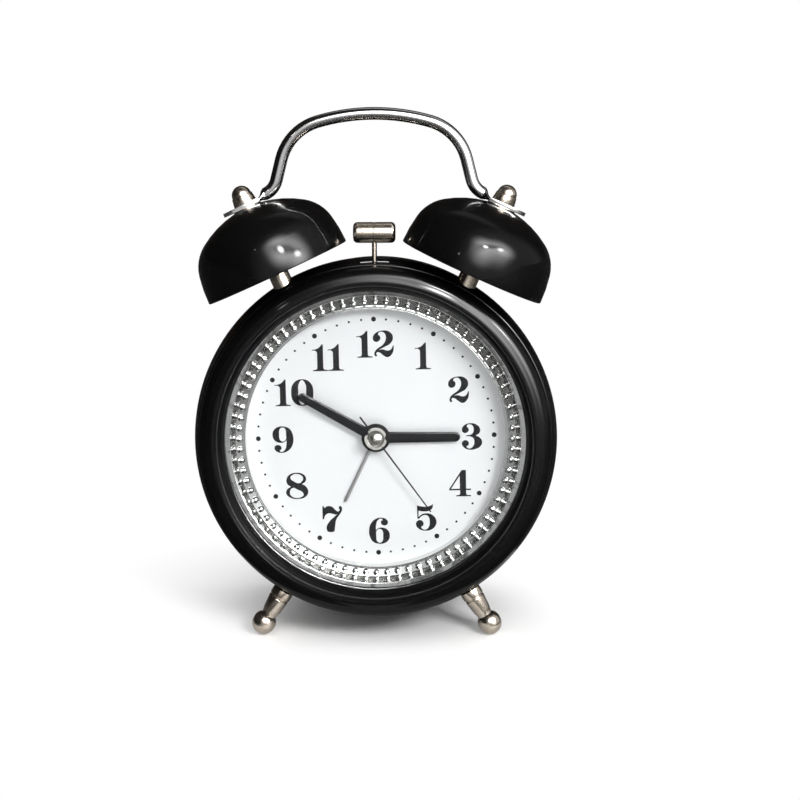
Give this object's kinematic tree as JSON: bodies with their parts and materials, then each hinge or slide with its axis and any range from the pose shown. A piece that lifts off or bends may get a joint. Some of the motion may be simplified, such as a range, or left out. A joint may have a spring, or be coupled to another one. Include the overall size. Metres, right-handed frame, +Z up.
{
  "type": "bell alarm clock",
  "caption": "Round desk alarm clock with bells on posts, a hammer between them, an arched handle, raked ball-foot legs, a beaded dial and a battery movement.",
  "frame": {"origin": "on the table, under the middle of the clock's overall box", "axes": "+Z up, +Y to the back of the clock, +X to the right as seen from the front; the clock stands leaning back on its two feet and its rear edge"},
  "size_m": [0.117, 0.0726, 0.167],
  "materials": {
    "black_enamel": "high-gloss black enamel",
    "chrome": "polished",
    "champagne_nickel": "polished warm nickel plate",
    "silver_plate": "polished plate",
    "zinc_steel": "bright zinc plate",
    "white_dial": "matt white print base",
    "black_hands": "satin black lacquer",
    "clear_glass": "clear",
    "frame_plastic": "white moulding",
    "movement_plastic": "black moulding",
    "gear_plastic": "natural acetal",
    "brass": "turned",
    "cover_plastic": "fine textured black",
    "board": "solder-masked board",
    "copper_winding": "enamelled wire",
    "cell_jacket": "printed jacket, plain"
  },
  "bodies": {
    "clock_body": {"case_shell": "black_enamel", "front_bezel": "black_enamel", "lens": "clear_glass", "beaded_ring": "silver_plate", "dial_plate": "white_dial", "movement_frame": "frame_plastic", "movement_front": "movement_plastic", "movement_back": "movement_plastic", "movement_screws": "zinc_steel", "stepper_motor": "movement_plastic", "circuit_board": "board", "left_bell": "black_enamel", "right_bell": "black_enamel", "left_bell_post": "champagne_nickel", "right_bell_post": "champagne_nickel", "left_bell_stud": "zinc_steel", "right_bell_stud": "zinc_steel", "bell_washers": "champagne_nickel", "left_dome_nut": "champagne_nickel", "right_dome_nut": "champagne_nickel", "stud_nuts": "zinc_steel", "handle": "chrome", "left_leg": "champagne_nickel", "right_leg": "champagne_nickel", "leg_nuts": "zinc_steel", "striker_bracket": "zinc_steel", "striker_core": "zinc_steel", "striker_coil": "copper_winding", "hammer_pivot_pin": "zinc_steel", "battery_tray": "cover_plastic", "battery_contact": "zinc_steel", "battery_spring": "zinc_steel", "battery_cell": "cell_jacket", "rear_cover": "cover_plastic", "cover_screws": "zinc_steel"},
    "minute_body": {"minute_hand": "black_hands", "cannon_pinion": "brass", "centre_wheel": "gear_plastic"},
    "hour_body": {"hour_hand": "black_hands", "hour_wheel": "gear_plastic"},
    "time_set_body": {"minute_wheel": "gear_plastic", "time_set_knob": "cover_plastic"},
    "third_body": {"third_wheel": "gear_plastic"},
    "seconds_body": {"seconds_wheel": "gear_plastic", "seconds_hand": "black_hands", "hand_cap": "silver_plate"},
    "alarm_body": {"alarm_hand": "silver_plate", "alarm_wheel": "gear_plastic"},
    "alarm_set_body": {"alarm_pinion": "gear_plastic", "alarm_set_knob": "cover_plastic"},
    "hammer_body": {"hammer_head": "champagne_nickel", "hammer_rod": "champagne_nickel", "hammer_lever": "zinc_steel"},
    "alarm_switch_body": {"alarm_switch": "cover_plastic"},
    "battery_door_body": {"battery_door": "cover_plastic"}
  },
  "joints": [
    {"name": "minute_hand_turn", "type": "hinge", "parent": "clock_body", "child": "minute_body", "pos_m": [0, -0.00904, 0.06253], "axis": [0, 0.9783, -0.207], "continuous": true},
    {"name": "hour_hand_turn", "type": "hinge", "parent": "clock_body", "child": "hour_body", "pos_m": [0, -0.00904, 0.06253], "axis": [0, 0.9783, -0.207], "continuous": true},
    {"name": "time_set_turn", "type": "hinge", "parent": "clock_body", "child": "time_set_body", "pos_m": [-0.01039, -0.01028, 0.05666], "axis": [0, 0.9783, -0.207], "continuous": true},
    {"name": "third_wheel_turn", "type": "hinge", "parent": "clock_body", "child": "third_body", "pos_m": [0, -0.0068, 0.07309], "axis": [0, 0.9783, -0.207], "continuous": true},
    {"name": "seconds_hand_turn", "type": "hinge", "parent": "clock_body", "child": "seconds_body", "pos_m": [0, -0.00904, 0.06253], "axis": [0, 0.9783, -0.207], "continuous": true},
    {"name": "alarm_hand_turn", "type": "hinge", "parent": "clock_body", "child": "alarm_body", "pos_m": [0, -0.00904, 0.06253], "axis": [0, 0.9783, -0.207], "continuous": true},
    {"name": "alarm_set_turn", "type": "hinge", "parent": "clock_body", "child": "alarm_set_body", "pos_m": [0.01039, -0.01028, 0.05666], "axis": [0, 0.9783, -0.207], "continuous": true},
    {"name": "hammer_swing", "type": "hinge", "parent": "clock_body", "child": "hammer_body", "pos_m": [0, -0.00221, 0.09481], "axis": [0, 0.9783, -0.207], "range_deg": [-4, 4], "stiffness_Nm_per_rad": 0.05},
    {"name": "alarm_switch_slide", "type": "slide", "parent": "clock_body", "child": "alarm_switch_body", "axis": [1, 0, 0], "range_m": [0, 0.005]},
    {"name": "battery_door_pull", "type": "slide", "parent": "clock_body", "child": "battery_door_body", "axis": [0, 0.9783, -0.207], "range_m": [0, 0.03]}
  ],
  "couplings": [
    {"joint": "hour_hand_turn", "follows": "minute_hand_turn", "ratio": 0.083333},
    {"joint": "time_set_turn", "follows": "minute_hand_turn", "ratio": -0.33333},
    {"joint": "third_wheel_turn", "follows": "minute_hand_turn", "ratio": -7.5},
    {"joint": "seconds_hand_turn", "follows": "minute_hand_turn", "ratio": 60},
    {"joint": "alarm_set_turn", "follows": "alarm_hand_turn", "ratio": -1}
  ]
}
